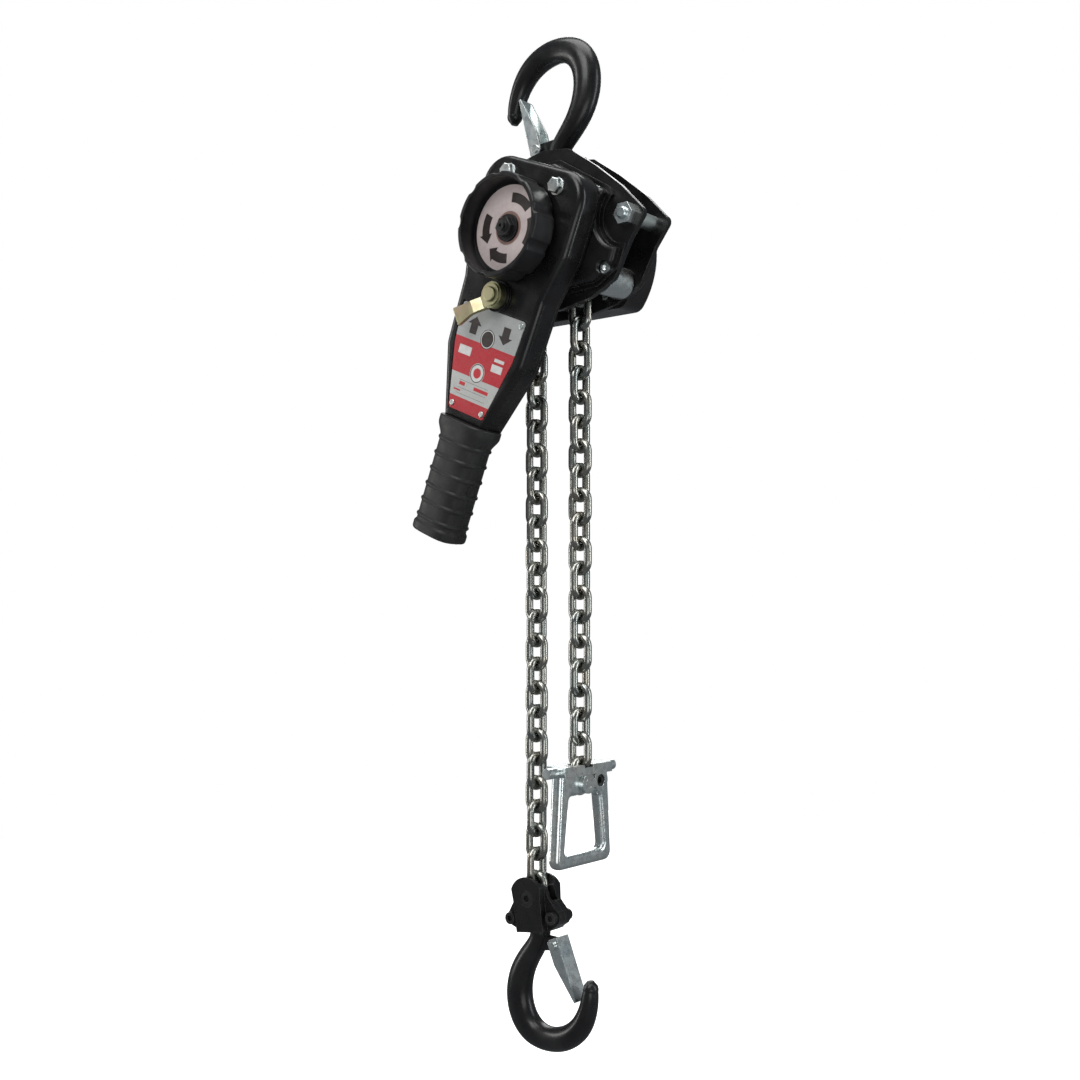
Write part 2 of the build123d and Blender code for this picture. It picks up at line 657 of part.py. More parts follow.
with BuildPart() as brake_cover:
    extrude(brake_cover_outline(PLATE_OUT, 0), amount=2.0)
    extrude(brake_cover_outline(PLATE_OUT, 3.5), amount=BRAKE_COVER_FRONT - PLATE_OUT)
    fillet(brake_cover.edges().group_by(Axis.Y)[0], 3.0)
    hollow = brake_cover_outline(PLATE_OUT, 5.0, screw_boss=6.4)
    extrude(hollow, amount=BRAKE_COVER_FRONT - BRAKE_WALL - PLATE_OUT, mode=Mode.SUBTRACT)
    bar(front(0), PLATE_OUT + 2, BRAKE_COVER_FRONT + 1, 4.8, BRAKE_SCREWS, mode=Mode.SUBTRACT)
    disc(PLATE_OUT, 12, 23.0, mode=Mode.SUBTRACT)
    bar(front(0), PLATE_OUT, PLATE_OUT + 5, SCREW_R, BRAKE_SCREWS, mode=Mode.SUBTRACT)
save(brake_cover, "brake_cover")

with BuildPart() as cover_screws:
    bar(front(0), PLATE_IN, PLATE_OUT + 2, SCREW_R, BRAKE_SCREWS)
    bar(front(0), PLATE_OUT + 2, PLATE_OUT + 4.4, 4.2, BRAKE_SCREWS)
    hexagon(PLATE_OUT + 3, 2, 3.6, BRAKE_SCREWS, mode=Mode.SUBTRACT)
    bar(front(0), -PLATE_IN, -COVER_DEPTH, SCREW_R, GEAR_COVER_SCREWS)
    bar(front(0), -COVER_DEPTH, -COVER_DEPTH - 2.6, 4.6, GEAR_COVER_SCREWS)
    hexagon(-COVER_DEPTH - 2.6, 1.8, 4.0, GEAR_COVER_SCREWS, mode=Mode.SUBTRACT)
save(cover_screws, "cover_screws")


# ---------------------------------------------------------------- lever
CASE_REAR = 26.2
CASE_SPLIT = 28.7
CASE_FRONT = 46.0
CASE_WALL = 2.5
CASE_OUTLINE = [(-50, 50), (50, 50), (50, -8), (42, -42), (40.5, -92), (21.5, -146),
                (-21.5, -146), (-40.5, -92), (-42, -42), (-50, -8)]
CASE_RADII = [22, 22, 14, 12, 16, 4, 4, 16, 12, 14]
TANG_HALF = 13.0
TANG_END = -222.0
LEVER_BOLTS = [(-24.5, 38), (24.5, 37)]
REAR_SCREWS = [(-27, -84), (27, -84)]
SELECTOR = (0, -48)
GEAR_HUB_REAR = 15.0
GEAR_HUB_FRONT = 13.0
PLATE_POINTS = [(-33, -59), (33, -59), (31, -89), (18.5, -137), (-18.5, -137), (-31, -89)]
RIVETS = [(-29.5, -62.5), (29.5, -62.5), (-16, -133), (16, -133)]


def case_outline(depth, inset=0.0):
    """Lever outline with its corner radii, shrunk by an inset."""
    with BuildSketch(lever(depth)) as outline:
        with BuildLine():
            FilletPolyline(*CASE_OUTLINE, radius=CASE_RADII, close=True)
        make_face()
        if inset:
            offset(amount=-inset)
    return outline.sketch


with BuildPart() as lever_case_rear:
    extrude(case_outline(CASE_REAR), amount=CASE_SPLIT - CASE_REAR)
    prism(lever(0), CASE_REAR + 2.5, 36.0, [(-TANG_HALF, -148.5), (TANG_HALF, -148.5),
                                         (TANG_HALF - 1, TANG_END), (1 - TANG_HALF, TANG_END)])
    prism(lever(0), CASE_REAR, CASE_SPLIT, [(-20, -140), (20, -140), (12, -160), (-12, -160)])
    disc(CASE_REAR - 1, 6, GEAR_HUB_REAR + RUN, plane=lever, mode=Mode.SUBTRACT)
    bar(lever(0), CASE_REAR, CASE_SPLIT, SCREW_R, LEVER_BOLTS + REAR_SCREWS, mode=Mode.SUBTRACT)
    bar(lever(0), CASE_REAR, CASE_SPLIT, 3.5 + RUN, [SELECTOR], mode=Mode.SUBTRACT)
save(lever_case_rear, "lever_case_rear")

with BuildPart() as lever_case_front:
    extrude(case_outline(CASE_SPLIT), amount=CASE_FRONT - CASE_SPLIT)
    fillet(lever_case_front.edges().group_by(Axis.Y)[0], 5.0)
    extrude(case_outline(CASE_SPLIT, CASE_WALL), amount=CASE_FRONT - CASE_WALL - CASE_SPLIT,
            mode=Mode.SUBTRACT)
    with BuildSketch(lever(CASE_FRONT - 0.8)):
        with BuildLine():
            Polyline(*PLATE_POINTS, close=True)
        make_face()
        offset(amount=1.0, kind=Kind.INTERSECTION)
    extrude(amount=5, mode=Mode.SUBTRACT)
    prism(lever(0), 36.1, CASE_FRONT - 3, [(-TANG_HALF, -143), (TANG_HALF, -143),
                                        (TANG_HALF - 1, TANG_END), (1 - TANG_HALF, TANG_END)])
    bar(lever(0), CASE_SPLIT, CASE_FRONT - 1, 6.0, LEVER_BOLTS + REAR_SCREWS)
    disc(CASE_FRONT, 2.0, 11.5, at=[SELECTOR], plane=lever)
    disc(CASE_SPLIT, 20, GEAR_HUB_FRONT + RUN, plane=lever, mode=Mode.SUBTRACT)
    bar(lever(0), CASE_SPLIT - 1, CASE_FRONT + 1, SCREW_R, LEVER_BOLTS, mode=Mode.SUBTRACT)
    bar(lever(0), CASE_SPLIT - 1, CASE_FRONT - 5, SCREW_R, REAR_SCREWS, mode=Mode.SUBTRACT)
    bar(lever(0), CASE_SPLIT, CASE_FRONT + 3, 4.0 + RUN, [SELECTOR], mode=Mode.SUBTRACT)
    bar(lever(0), CASE_FRONT - 3, CASE_FRONT, 1.3, RIVETS, mode=Mode.SUBTRACT)
save(lever_case_front, "lever_case_front")

with BuildPart() as lever_bolts:
    bar(lever(0), CASE_REAR, CASE_FRONT + 1, SCREW_R, LEVER_BOLTS)
    bar(lever(0), CASE_FRONT, CASE_FRONT + 0.9, 6.2, LEVER_BOLTS)
    hexagon(CASE_FRONT + 0.9, 4.4, 10.0, LEVER_BOLTS, plane=lever)
    chamfer(lever_bolts.edges().group_by(Axis.Y)[0], 0.6)
    bar(lever(0), CASE_REAR, CASE_FRONT - 6, SCREW_R, REAR_SCREWS)
    bar(lever(0), CASE_REAR - 2.6, CASE_REAR, 4.6, REAR_SCREWS)
    hexagon(CASE_REAR - 2.6, 1.8, 4.0, REAR_SCREWS, plane=lever, mode=Mode.SUBTRACT)
save(lever_bolts, "lever_bolts")

with BuildPart() as name_plate:
    with BuildSketch(lever(CASE_FRONT - 0.8)) as plate:
        with BuildLine():
            Polyline(*PLATE_POINTS, close=True)
        make_face()
        fillet(plate.vertices(), 2.5)
        with Locations(*RIVETS):
            Circle(1.3, mode=Mode.SUBTRACT)
    extrude(amount=0.6)
save(name_plate, "name_plate")

with BuildPart() as name_plate_rivets:
    bar(lever(0), CASE_FRONT - 2.6, CASE_FRONT - 0.2, 1.3, RIVETS)
    bar(lever(0), CASE_FRONT - 0.2, CASE_FRONT + 0.6, 2.3, RIVETS)
    fillet(name_plate_rivets.edges().group_by(Axis.Y)[0], 0.6)
save(name_plate_rivets, "name_plate_rivets")

GRIP_TOP = 143.0
GRIP_END = 234.0
GRIP_W, GRIP_T = 40.0, 29.0
GRIP_DEPTH = 36.4
GRIP_RIBS = [158.7 + 12.3 * k for k in range(6)]


def across_lever(down, half_width, half_depth, corner):
    """Rounded rectangle across the lever, at a distance below the axis."""
    base = lever(GRIP_DEPTH)
    plane = Plane(origin=base.from_local_coords((0, -down, 0)), x_dir=base.x_dir, z_dir=-base.y_dir)
    with BuildSketch(plane) as face:
        RectangleRounded(2 * half_width, 2 * half_depth, corner)
    return face.sketch


with BuildPart() as lever_grip:
    taper_end = across_lever(GRIP_TOP + 16, GRIP_W / 2, GRIP_T / 2, 9)
    loft([across_lever(GRIP_TOP + 4, 24.6, 15.9, 9), taper_end])
    extrude(across_lever(GRIP_TOP, 25.8, 16.6, 9), amount=4.0)
    extrude(taper_end, amount=GRIP_END - GRIP_TOP - 16)
    extrude(across_lever(GRIP_END - 5, 21.5, 15.8, 9.5), amount=5)
    for down in GRIP_RIBS:
        extrude(across_lever(down, GRIP_W / 2 + 1.3, GRIP_T / 2 + 1.0, 9.8), amount=2.6)
    prism(lever(0), CASE_REAR + 2.3, CASE_FRONT - 2.9,
          [(-TANG_HALF - 0.1, -160), (TANG_HALF + 0.1, -160), (TANG_HALF - 0.9, TANG_END - 0.2),
           (0.9 - TANG_HALF, TANG_END - 0.2)], mode=Mode.SUBTRACT)
    prism(lever(0), CASE_REAR - 0.1, CASE_FRONT + 0.1,
          [(-24, -139.5), (24, -139.5), (21.7, -146.2), (13.2, -160.2), (-13.2, -160.2), (-21.7, -146.2)],
          mode=Mode.SUBTRACT)
save(lever_grip, "lever_grip")


# ---------------------------------------------------------------- change gear, selector, handwheel
CHANGE_TEETH = 8
CHANGE_TIP = 26.5
CHANGE_ROOT = 22.5
CHANGE_REAR = 29.3
CHANGE_FRONT = 37.5
PAWL_REACH = 23.2

with BuildPart() as change_gear:
    disc(GEAR_DEPTH, 2.2, 22.0)
    disc(GEAR_DEPTH, 10, GEAR_HUB_REAR)
    disc(CHANGE_REAR, CHANGE_FRONT - CHANGE_REAR, CHANGE_ROOT)
    for k in range(CHANGE_TEETH):
        turn = LEVER_SWING + 360 / CHANGE_TEETH * (k + 0.5)
        tooth = [(-2.8, 20), (-1.9, CHANGE_TIP), (1.9, CHANGE_TIP), (2.8, 20)]
        prism(front(0, turn), CHANGE_REAR, CHANGE_FRONT, tooth)
    disc(CHANGE_FRONT, 46.3 - CHANGE_FRONT, GEAR_HUB_FRONT)
    disc(46.3, 10.5, 9.0)
    disc(GEAR_DEPTH - 1, 40, SHAFT_R, mode=Mode.SUBTRACT)
save(change_gear, "change_gear")

with BuildPart() as drive_pawl:
    with BuildSketch(lever(CHANGE_REAR + 0.8)):
        with Locations(SELECTOR):
            Circle(8.5)
        with BuildLine():
            Polyline((-5, SELECTOR[1]), (-1.6, PAWL_REACH + SELECTOR[1]), (1.6, PAWL_REACH + SELECTOR[1]),
                     (5, SELECTOR[1]), close=True)
        make_face()
        with BuildLine():
            Polyline((0, SELECTOR[1] - 5), (PAWL_REACH, SELECTOR[1] - 1.6), (PAWL_REACH, SELECTOR[1] + 1.6),
                     (0, SELECTOR[1] + 5), close=True)
        make_face()
    extrude(amount=6.0)
    bar(lever(0), CASE_REAR, CHANGE_REAR + 0.8, 3.5, [SELECTOR])
    bar(lever(0), CHANGE_REAR + 0.8, 56.4, 4.0, [SELECTOR])
    bar(lever(0), 56.4, 57.6, 5.4, [SELECTOR])
    fillet(drive_pawl.edges().group_by(Axis.Y)[0], 1.0)
save(drive_pawl, "drive_pawl")

KNOB_DEPTH = CASE_FRONT + 2.2
KNOB_R = 9.6
KNOB_H = 7.6
ARM_HALF = 7.2
ARM_SIDE = [(4, 0.6), (12, 0.6), (19, 6), (34, 8.6), (34, 11.6), (18, 8.8), (11, 4.6), (4, 4.6)]
ARM_FACE = [(2, -6.4), (12, -4.8), (22, -5.0), (32, -7.0), (36, -6.5), (36, 6.5), (32, 7.0),
            (22, 5.0), (12, 4.8), (2, 6.4)]
with BuildPart() as selector_knob:
    base = lever(KNOB_DEPTH)
    arm = Plane(origin=base.from_local_coords((SELECTOR[0], SELECTOR[1], 0)),
                x_dir=-base.x_dir - base.y_dir, z_dir=base.z_dir)
    side_view = Plane(origin=arm.origin, x_dir=arm.x_dir, z_dir=-arm.y_dir)
    with BuildSketch(side_view.offset(-ARM_HALF)):
        with BuildLine():
            FilletPolyline(*ARM_SIDE, radius=1.2, close=True)
        make_face()
    extrude(amount=2 * ARM_HALF)
    with BuildSketch(arm.offset(-1)):
        with BuildLine():
            Polyline(*ARM_FACE, close=True)
        make_face()
    extrude(amount=20, mode=Mode.INTERSECT)
    disc(KNOB_DEPTH, KNOB_H - 1.4, KNOB_R, at=[SELECTOR], plane=lever)
    disc(KNOB_DEPTH + KNOB_H - 1.4, 1.4, KNOB_R - 1.4, at=[SELECTOR], plane=lever)
    bar(lever(0), CASE_FRONT, 60, 4.0, [SELECTOR], mode=Mode.SUBTRACT)
save(selector_knob, "selector_knob")

WHEEL_R = 37.0
WHEEL_REAR = 48.0
WHEEL_FRONT = 70.5
WHEEL_RECESS_R = 33.4
WHEEL_DISC = 56.2
WHEEL_LOBES = 9
with BuildPart() as handwheel:
    with BuildSketch(front(WHEEL_REAR + 1)):
        Circle(WHEEL_R)
        with PolarLocations(WHEEL_R + 7.0, WHEEL_LOBES, start_angle=8):
            Circle(8.4, mode=Mode.SUBTRACT)
    extrude(amount=WHEEL_FRONT - WHEEL_REAR - 1)
    fillet(handwheel.edges().group_by(Axis.Y)[0], 1.5)
    fillet(handwheel.edges().group_by(Axis.Y)[-1], 1.5)
    disc(WHEEL_REAR, 8, 31.5)
    disc(WHEEL_DISC, 20, WHEEL_RECESS_R, mode=Mode.SUBTRACT)
    disc(WHEEL_REAR - 1, 6.5, 28.5, 12.0, mode=Mode.SUBTRACT)
    disc(WHEEL_REAR - 1, 20, 9.0, mode=Mode.SUBTRACT)
save(handwheel, "handwheel")

with BuildPart() as drive_spring:
    coil(front(WHEEL_REAR + 0.4), 15.0, 1.4, 2.5, 1.6)
save(drive_spring, "drive_spring")

with BuildPart() as wheel_nut:
    disc(57.1, 1.2, 9.6, 5.0)
    hexagon(58.3, 4.4, 13.0, [(0, 0)])
    fillet(wheel_nut.edges().group_by(Axis.Y)[0], 0.8)
    disc(56, 20, 4.0, mode=Mode.SUBTRACT)
    disc(56, 2.0, 5.0, mode=Mode.SUBTRACT)
save(wheel_nut, "wheel_nut")


# ---------------------------------------------------------------- bottom block, in two halves
BLOCK_HALF_T = 12.5
BLOCK_EARS = [(-20, -15), (20, -15)]
BLOCK_OUTLINE = [(-16, 0), (16, 0), (25, -12), (24, -20), (14, -25), (-14, -25), (-24, -20), (-25, -12)]
SHOULDER_CUT = [(30, -40), (30, 30), (16.4, 30), (13.0, -4), (13.0, -40)]
EAR_FACE = 6.5             # depth of the ears' faces, under the bolt heads
LINK_SLOT = 3.6


def block_half(side):
    """Half of the bottom block, on the front (1) or the rear (-1) of the chain."""
    plane = block_frame()
    face = side * BLOCK_HALF_T
    prism(plane, 0, face, BLOCK_OUTLINE)
    bar(plane, 0, face, 16.0)
    bar(plane, 0, side * EAR_FACE, 6.0, BLOCK_EARS)
    for hand in (-1, 1):
        shoulder = [(hand * x, y) for x, y in SHOULDER_CUT]
        prism(plane, side * EAR_FACE, face + side, shoulder, mode=Mode.SUBTRACT)
    bar(plane, -LINK_SLOT, LINK_SLOT, 11.4, mode=Mode.SUBTRACT)
    prism(plane, -LINK_SLOT, LINK_SLOT, [(-30, -3), (30, -3), (30, 30), (-30, 30)], mode=Mode.SUBTRACT)
    valley = Plane(origin=plane.from_local_coords((0, 18.6, 0)), x_dir=(0, 1, 0), z_dir=plane.x_dir)
    bar(valley, -30, 30, 11.6, mode=Mode.SUBTRACT)
    roof = Plane(origin=plane.from_local_coords((0, -HOOK_DROP - HEAD_TOP - 0.2, 0)),
                 x_dir=plane.x_dir, z_dir=plane.y_dir)
    bar(roof, 0, HEAD_H + 0.6, HEAD_R + 0.3, mode=Mode.SUBTRACT)
    bar(roof, 1, -20, JOURNAL_R + RUN, mode=Mode.SUBTRACT)
    bar(plane, -BLOCK_HALF_T - 1, BLOCK_HALF_T + 1, CHAIN_PIN_R, mode=Mode.SUBTRACT)
    bar(plane, -BLOCK_HALF_T, BLOCK_HALF_T, SCREW_R, BLOCK_EARS, mode=Mode.SUBTRACT)
    if side > 0:
        bar(plane, BLOCK_HALF_T - 3, BLOCK_HALF_T + 1, 6.1, mode=Mode.SUBTRACT)


with BuildPart() as block_half_front:
    block_half(1)
save(block_half_front, "block_half_front")

with BuildPart() as block_half_rear:
    block_half(-1)
save(block_half_rear, "block_half_rear")

with BuildPart() as chain_pin:
    bar(block_frame(), -BLOCK_HALF_T + 0.2, BLOCK_HALF_T - 1, CHAIN_PIN_R)
    bar(block_frame(), BLOCK_HALF_T - 3, BLOCK_HALF_T - 0.4, 6.0)
    with BuildSketch(block_frame().offset(BLOCK_HALF_T - 2.4)):
        RegularPolygon(2.6, 6, major_radius=False)
    extrude(amount=4, mode=Mode.SUBTRACT)
save(chain_pin, "chain_pin")

with BuildPart() as block_bolts:
    bar(block_frame(), -11.0, EAR_FACE, SCREW_R, BLOCK_EARS)
    bar(block_frame(), EAR_FACE, 11.0, 4.6, BLOCK_EARS)
    bar(block_frame(), -11.0, -EAR_FACE, 4.2, BLOCK_EARS)
    with BuildSketch(block_frame().offset(9.0)):
        with Locations(*BLOCK_EARS):
            RegularPolygon(2.2, 6, major_radius=False)
    extrude(amount=4, mode=Mode.SUBTRACT)
save(block_bolts, "block_bolts")


# ---------------------------------------------------------------- chain end stopper
STOP_X = 8.5               # half thickness of the stopper's head
STOP_PIN_R = 3.4
PIN_DROP = PITCH * (TAIL_LINKS - 1) - FALL_START + LINK_HALF - WIRE / 2 - STOP_PIN_R - RUN
STOP_SCREW = (14.5, 1.0)
STOP_TOP = 14.0            # top of the head above the link pin


def stopper_frame():
    """Plane facing right, on the pin that holds the tail's last link; x is to the rear."""
    return Plane(origin=(FALL_X, 0, AXIS_Z - PIN_DROP), x_dir=(0, 1, 0), z_dir=(1, 0, 0))


with BuildPart() as stopper_ring:
    ring = stopper_frame()
    with BuildSketch(ring.offset(-4.8)):
        with BuildLine():
            FilletPolyline((-28, STOP_TOP - 1), (28, STOP_TOP - 1), (33, -60.5), (-33, -60.5),
                           radius=[3, 3, 7, 7], close=True)
        make_face()
        with BuildLine():
            FilletPolyline((-17.5, -8.5), (17.5, -8.5), (22.8, -51), (-22.8, -51), radius=4, close=True)
        make_face(mode=Mode.SUBTRACT)
    extrude(amount=9.6)
    fillet(stopper_ring.edges().group_by(Axis.X)[0], 3.2)
    fillet(stopper_ring.edges().group_by(Axis.X)[-1], 3.2)
    prism(ring, -STOP_X, STOP_X,
          [(-28, STOP_TOP), (28, STOP_TOP), (28, STOP_TOP - 7.5), (-28, STOP_TOP - 7.5)])
    rod = Plane(origin=ring.from_local_coords((0, STOP_TOP - 4, 0)), x_dir=(1, 0, 0), z_dir=(0, 1, 0))
    bar(rod, -39, 39, 4.0)
    bar(ring, -STOP_X, STOP_X, 8.0, [STOP_SCREW])
    bar(ring, -STOP_X, STOP_X, 7.4)
    slot = [(-11.6, 30), (-11.6, -2), (-8, -9.6), (8, -9.6), (11.6, -2), (11.6, 30)]
    prism(ring, -LINK_SLOT, LINK_SLOT, slot, mode=Mode.SUBTRACT)
    trough = Plane(origin=ring.from_local_coords((0, 18.8, 0)), x_dir=(1, 0, 0), z_dir=(0, 1, 0))
    bar(trough, -5.0, 5.0, 10.8, mode=Mode.SUBTRACT)
    bar(ring, -20, 20, STOP_PIN_R, mode=Mode.SUBTRACT)
    bar(ring, 3.0, 20, 4.6, [STOP_SCREW], mode=Mode.SUBTRACT)
save(stopper_ring, "stopper_ring")

with BuildPart() as stopper_pin:
    bar(stopper_frame(), -STOP_X, STOP_X, STOP_PIN_R)
save(stopper_pin, "stopper_pin")

with BuildPart() as stopper_bolt:
    bar(stopper_frame(), 3.0, STOP_X - 1.5, 4.6, [STOP_SCREW])
    with BuildSketch(stopper_frame().offset(STOP_X - 4)):
        with Locations(STOP_SCREW):
            RegularPolygon(2.4, 6, major_radius=False)
    extrude(amount=4, mode=Mode.SUBTRACT)
save(stopper_bolt, "stopper_bolt")
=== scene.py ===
import json
from math import cos, pi, radians, sin

import bmesh
import bpy
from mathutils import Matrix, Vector


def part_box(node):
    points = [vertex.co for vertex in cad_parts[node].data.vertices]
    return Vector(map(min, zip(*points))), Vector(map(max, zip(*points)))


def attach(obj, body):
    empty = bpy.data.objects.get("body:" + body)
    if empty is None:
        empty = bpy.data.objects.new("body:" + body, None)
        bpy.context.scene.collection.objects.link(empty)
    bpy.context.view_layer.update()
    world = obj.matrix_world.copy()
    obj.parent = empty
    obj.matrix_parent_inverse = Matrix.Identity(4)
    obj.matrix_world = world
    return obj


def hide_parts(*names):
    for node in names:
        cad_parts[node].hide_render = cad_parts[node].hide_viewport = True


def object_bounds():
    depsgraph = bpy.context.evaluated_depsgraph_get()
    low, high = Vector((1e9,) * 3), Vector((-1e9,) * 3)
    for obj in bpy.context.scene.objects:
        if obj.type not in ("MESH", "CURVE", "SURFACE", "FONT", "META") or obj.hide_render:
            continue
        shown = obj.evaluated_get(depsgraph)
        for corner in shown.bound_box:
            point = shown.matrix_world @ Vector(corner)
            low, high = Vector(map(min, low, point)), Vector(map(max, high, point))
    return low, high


# Looks of the lever chain hoist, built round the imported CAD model. Places in space are in metres
# in the row frame: +Z up along the hanging line, -Y towards the handwheel. Outlines on the
# handwheel, the name plate and the grip are in mm from the main axis.

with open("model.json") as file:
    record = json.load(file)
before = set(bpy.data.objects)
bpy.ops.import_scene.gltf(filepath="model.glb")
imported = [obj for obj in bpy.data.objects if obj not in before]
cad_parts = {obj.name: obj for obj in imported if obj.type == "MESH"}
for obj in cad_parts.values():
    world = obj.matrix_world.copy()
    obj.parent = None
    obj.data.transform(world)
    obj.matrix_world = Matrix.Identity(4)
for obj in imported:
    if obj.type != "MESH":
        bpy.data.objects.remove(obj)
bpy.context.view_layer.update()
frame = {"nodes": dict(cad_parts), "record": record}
nodes = frame["nodes"]
MM = 0.001

# ---------------------------------------------------------------- places taken from the frame
LEVER_SWING = radians(22.5)         # the lever at rest, clockwise of straight down
WASHER_T = 0.9 * MM                 # under the handwheel's nut
FLOOR_GAP = 0.06                    # below the lowest hook

nut_low, nut_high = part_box("wheel_nut")
axis_x = (nut_low.x + nut_high.x) / 2
axis_z = (nut_low.z + nut_high.z) / 2
plate_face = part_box("name_plate")[0].y
wheel_face = nut_high.y + WASHER_T
floor_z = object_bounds()[0][2] - FLOOR_GAP


def on_axis(x, y, depth):
    """A point given in mm right of and above the main axis, and a y in metres."""
    return Vector((axis_x + x * MM, depth, axis_z + y * MM))


def on_lever(x, y, depth):
    """The same, swung with the lever."""
    right = x * cos(LEVER_SWING) + y * sin(LEVER_SWING)
    up = y * cos(LEVER_SWING) - x * sin(LEVER_SWING)
    return on_axis(right, up, depth)


# ---------------------------------------------------------------- node helpers
# A colour mix has sockets of several types under the same names, so these go by number.
MIX_A, MIX_B, MIX_RESULT = 6, 7, 2


def new_material(name):
    """An empty material with its principled shader and object coordinates."""
    mat = bpy.data.materials.new(name)
    mat.use_nodes = True
    tree = mat.node_tree
    shader = tree.nodes["Principled BSDF"]
    coords = tree.nodes.new("ShaderNodeTexCoord").outputs["Object"]
    return mat, tree, shader, coords


def noise(tree, coords, scale, detail=3.0, rough=0.5):
    """Noise with so many waves per metre: tens for patches, hundreds for mottling and grain."""
    node = tree.nodes.new("ShaderNodeTexNoise")
    node.inputs["Scale"].default_value = scale
    node.inputs["Detail"].default_value = detail
    node.inputs["Roughness"].default_value = rough
    tree.links.new(coords, node.inputs["Vector"])
    return node.outputs["Fac"]


def ramp(tree, value, stops, mode="LINEAR"):
    """A colour ramp with (position, colour) stops."""
    node = tree.nodes.new("ShaderNodeValToRGB")
    node.color_ramp.interpolation = mode
    elements = node.color_ramp.elements
    while len(elements) < len(stops):
        elements.new(0.5)
    for element, (position, colour) in zip(elements, stops):
        element.position = position
        element.color = (*colour, 1)
    tree.links.new(value, node.inputs["Fac"])
    return node.outputs["Color"]


def remap(tree, value, low, high, to_low, to_high):
    """The value carried from one range to another, and held at its ends."""
    node = tree.nodes.new("ShaderNodeMapRange")
    sockets = ("From Min", "From Max", "To Min", "To Max")
    for socket, number in zip(sockets, (low, high, to_low, to_high)):
        node.inputs[socket].default_value = number
    tree.links.new(value, node.inputs["Value"])
    return node.outputs["Result"]


def mix(tree, factor, a, b):
    """Colour mix of two sockets, or of a socket and a colour."""
    node = tree.nodes.new("ShaderNodeMix")
    node.data_type = "RGBA"
    tree.links.new(factor, node.inputs["Factor"])
    for value, socket in ((a, MIX_A), (b, MIX_B)):
        if isinstance(value, tuple):
            node.inputs[socket].default_value = (*value, 1)
        else:
            tree.links.new(value, node.inputs[socket])
    return node.outputs[MIX_RESULT]


def rounded_normal(tree, radius):
    """Shading normal with sharp edges rounded off."""
    node = tree.nodes.new("ShaderNodeBevel")
    node.samples = 4
    node.inputs["Radius"].default_value = radius
    return node.outputs["Normal"]


def edge_mask(tree, rounded):
    """One along rounded edges and nought on faces."""
    geometry = tree.nodes.new("ShaderNodeNewGeometry")
    dot = tree.nodes.new("ShaderNodeVectorMath")
    dot.operation = "DOT_PRODUCT"
    tree.links.new(rounded, dot.inputs[0])
    tree.links.new(geometry.outputs["Normal"], dot.inputs[1])
    return remap(tree, dot.outputs["Value"], 0.80, 0.985, 1.0, 0.0)


def uneven_roughness(tree, shader, texture, low, high):
    """Roughness that wanders between two values with a noise texture."""
    tree.links.new(remap(tree, texture, 0.3, 0.7, low, high), shader.inputs["Roughness"])


def bump(tree, shader, heights, normal=None):
    """Bump layers, each a (value, strength, distance), one on top of the other."""
    for value, strength, distance in heights:
        node = tree.nodes.new("ShaderNodeBump")
        node.inputs["Strength"].default_value = strength
        node.inputs["Distance"].default_value = distance
        tree.links.new(value, node.inputs["Height"])
        if normal:
            tree.links.new(normal, node.inputs["Normal"])
        normal = node.outputs["Normal"]
    tree.links.new(normal, shader.inputs["Normal"])


# ---------------------------------------------------------------- kinds of material
BLACK_SPECULAR = 0.34
PLASTIC_SPECULAR = 0.36
DUST = (0.11, 0.108, 0.1)


def paint(name, dark, light, gloss, peel=0.5, edge=0.05, radius=0.7 * MM, coat=0.12):
    """Black paint: slight orange peel, patchy gloss, and a grey painted highlight along the edges
    that partly stands for rubbed paint.
    """
    mat, tree, shader, coords = new_material(name)
    rounded = rounded_normal(tree, radius)
    patches = ramp(tree, noise(tree, coords, 34, 5), [(0.35, dark), (0.7, light)])
    # Painted highlight: along the rounded edges the colour turns grey, as if light caught them,
    # with some rubbed paint in it too.
    sheen_and_wear_mask = edge_mask(tree, rounded)
    sheen_and_wear_grey = (edge, edge, edge * 1.03)
    tree.links.new(mix(tree, sheen_and_wear_mask, patches, sheen_and_wear_grey), shader.inputs["Base Color"])
    uneven_roughness(tree, shader, noise(tree, coords, 90, 4), gloss - 0.06, gloss + 0.08)
    shader.inputs["Specular IOR Level"].default_value = BLACK_SPECULAR
    shader.inputs["Coat Weight"].default_value = coat
    shader.inputs["Coat Roughness"].default_value = 0.16
    bump(tree, shader, [(noise(tree, coords, 950, 2), peel * 0.25, 0.12 * MM),
                        (noise(tree, coords, 60, 2), 0.12, 0.5 * MM)], rounded)
    return mat


def plating(name, stops, rough, grain=0.25, radius=0.45 * MM, grain_scale=1400, patch=45):
    """Plated or bare metal: tinted patches, uneven polish and a fine grain."""
    mat, tree, shader, coords = new_material(name)
    rounded = rounded_normal(tree, radius)
    tree.links.new(ramp(tree, noise(tree, coords, patch, 4), stops), shader.inputs["Base Color"])
    uneven_roughness(tree, shader, noise(tree, coords, patch * 5, 5), rough - 0.04, rough + 0.07)
    shader.inputs["Metallic"].default_value = 1.0
    bump(tree, shader, [(noise(tree, coords, grain_scale, 3), grain, 0.06 * MM),
                        (noise(tree, coords, 160, 3), grain * 0.8, 0.3 * MM)], rounded)
    return mat


